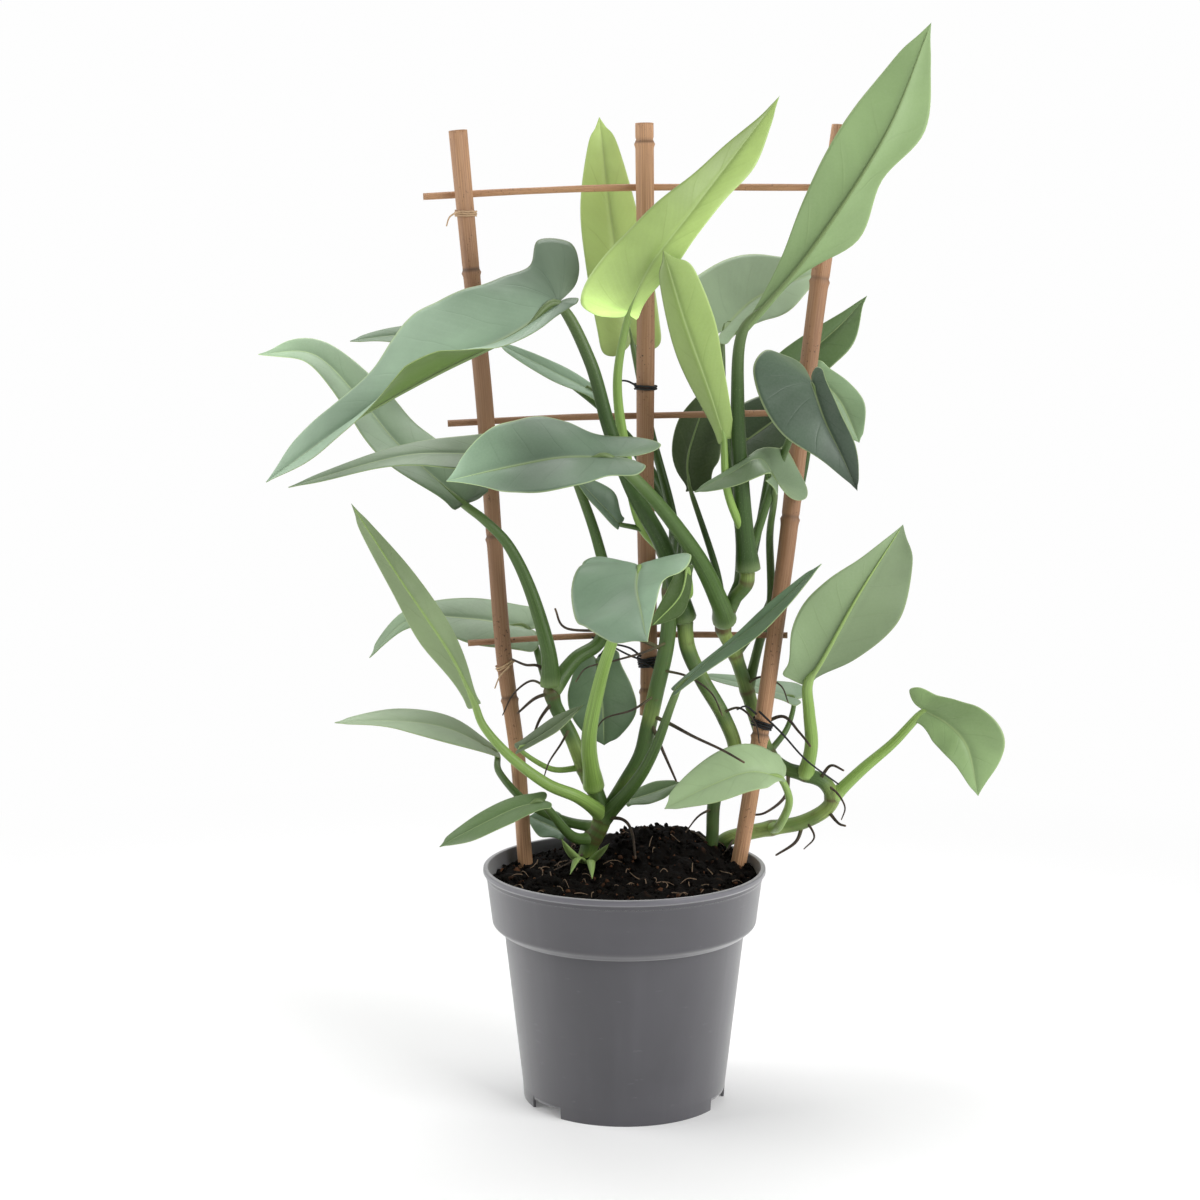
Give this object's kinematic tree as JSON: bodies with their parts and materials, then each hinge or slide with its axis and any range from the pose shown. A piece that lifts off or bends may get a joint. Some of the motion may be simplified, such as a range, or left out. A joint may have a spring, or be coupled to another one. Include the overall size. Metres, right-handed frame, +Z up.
{
  "type": "potted philodendron hastatum",
  "caption": "Climbing philodendron with silvery green arrow-shaped leaves, tied to a bamboo fan rack in a grey nursery pot.",
  "frame": {"origin": "centre of the pot's foot, on the surface it stands on", "axes": "+Z up along the plant, -Y towards the plant's front, +X to the right seen from the front"},
  "size_m": [0.4058, 0.2055, 0.5641],
  "materials": {
    "pot_plastic": "satin injection-moulded grey plastic",
    "peat": "damp crumbly peat with pale root bits",
    "bamboo": "dry bamboo, faint lengthwise grain, darker knots",
    "tie_wire": "black coated tie wire",
    "twine": "pale twisted twine",
    "stem_green": "smooth waxy green stem",
    "leaf_silver": "silvery blue-green leaf, waxy sheen",
    "leaf_lime": "young lime-green leaf, soft sheen",
    "leaf_green": "olive green leaf or leaf underside, satin"
  },
  "bodies": {
    "root": {"pot": "pot_plastic", "soil": "peat", "cane_left": "bamboo", "cane_middle": "bamboo", "cane_right": "bamboo", "bar_top": "bamboo", "bar_middle": "bamboo", "bar_low": "bamboo", "tie_middle_upper": "tie_wire", "tie_middle_low": "tie_wire", "tie_right_low": "tie_wire", "tie_left_low": "twine", "tie_left_upper": "twine", "tie_right_upper": "twine", "stem_left": "stem_green", "stem_centre": "stem_green", "stem_middle_right": "stem_green", "stem_right": "stem_green", "leaf_top_right": "leaf_green", "leaf_back_right": "leaf_silver", "leaf_centre_lime": "leaf_lime", "leaf_back_lime": "leaf_lime", "leaf_rolled_young": "leaf_lime", "leaf_left_big": "leaf_silver", "leaf_far_left": "leaf_silver", "leaf_left_mid": "leaf_silver", "leaf_centre_silver": "leaf_silver", "leaf_heart_front": "leaf_silver", "leaf_behind_heart": "leaf_green", "leaf_right_dark": "leaf_silver", "leaf_right_olive": "leaf_green", "leaf_right_upper": "leaf_green", "leaf_small_pale": "leaf_silver", "leaf_right_big": "leaf_green", "leaf_right_low": "leaf_green", "leaf_right_narrow": "leaf_silver", "leaf_low_pale": "leaf_silver", "leaf_left_upright": "leaf_silver", "leaf_left_flat": "leaf_green", "leaf_left_behind": "leaf_silver", "leaf_low_dark": "leaf_green", "leaf_small_folded": "leaf_green", "leaf_low_left": "leaf_green", "leaf_soil_dark": "leaf_green", "leaf_soil_green": "leaf_green", "leaf_back_narrow": "leaf_silver", "leaf_back_left": "leaf_silver", "leaf_back_centre": "leaf_green", "leaf_back_dark": "leaf_green", "leaf_under_silver": "leaf_green", "leaf_behind_cane": "leaf_silver"}
  },
  "joints": []
}
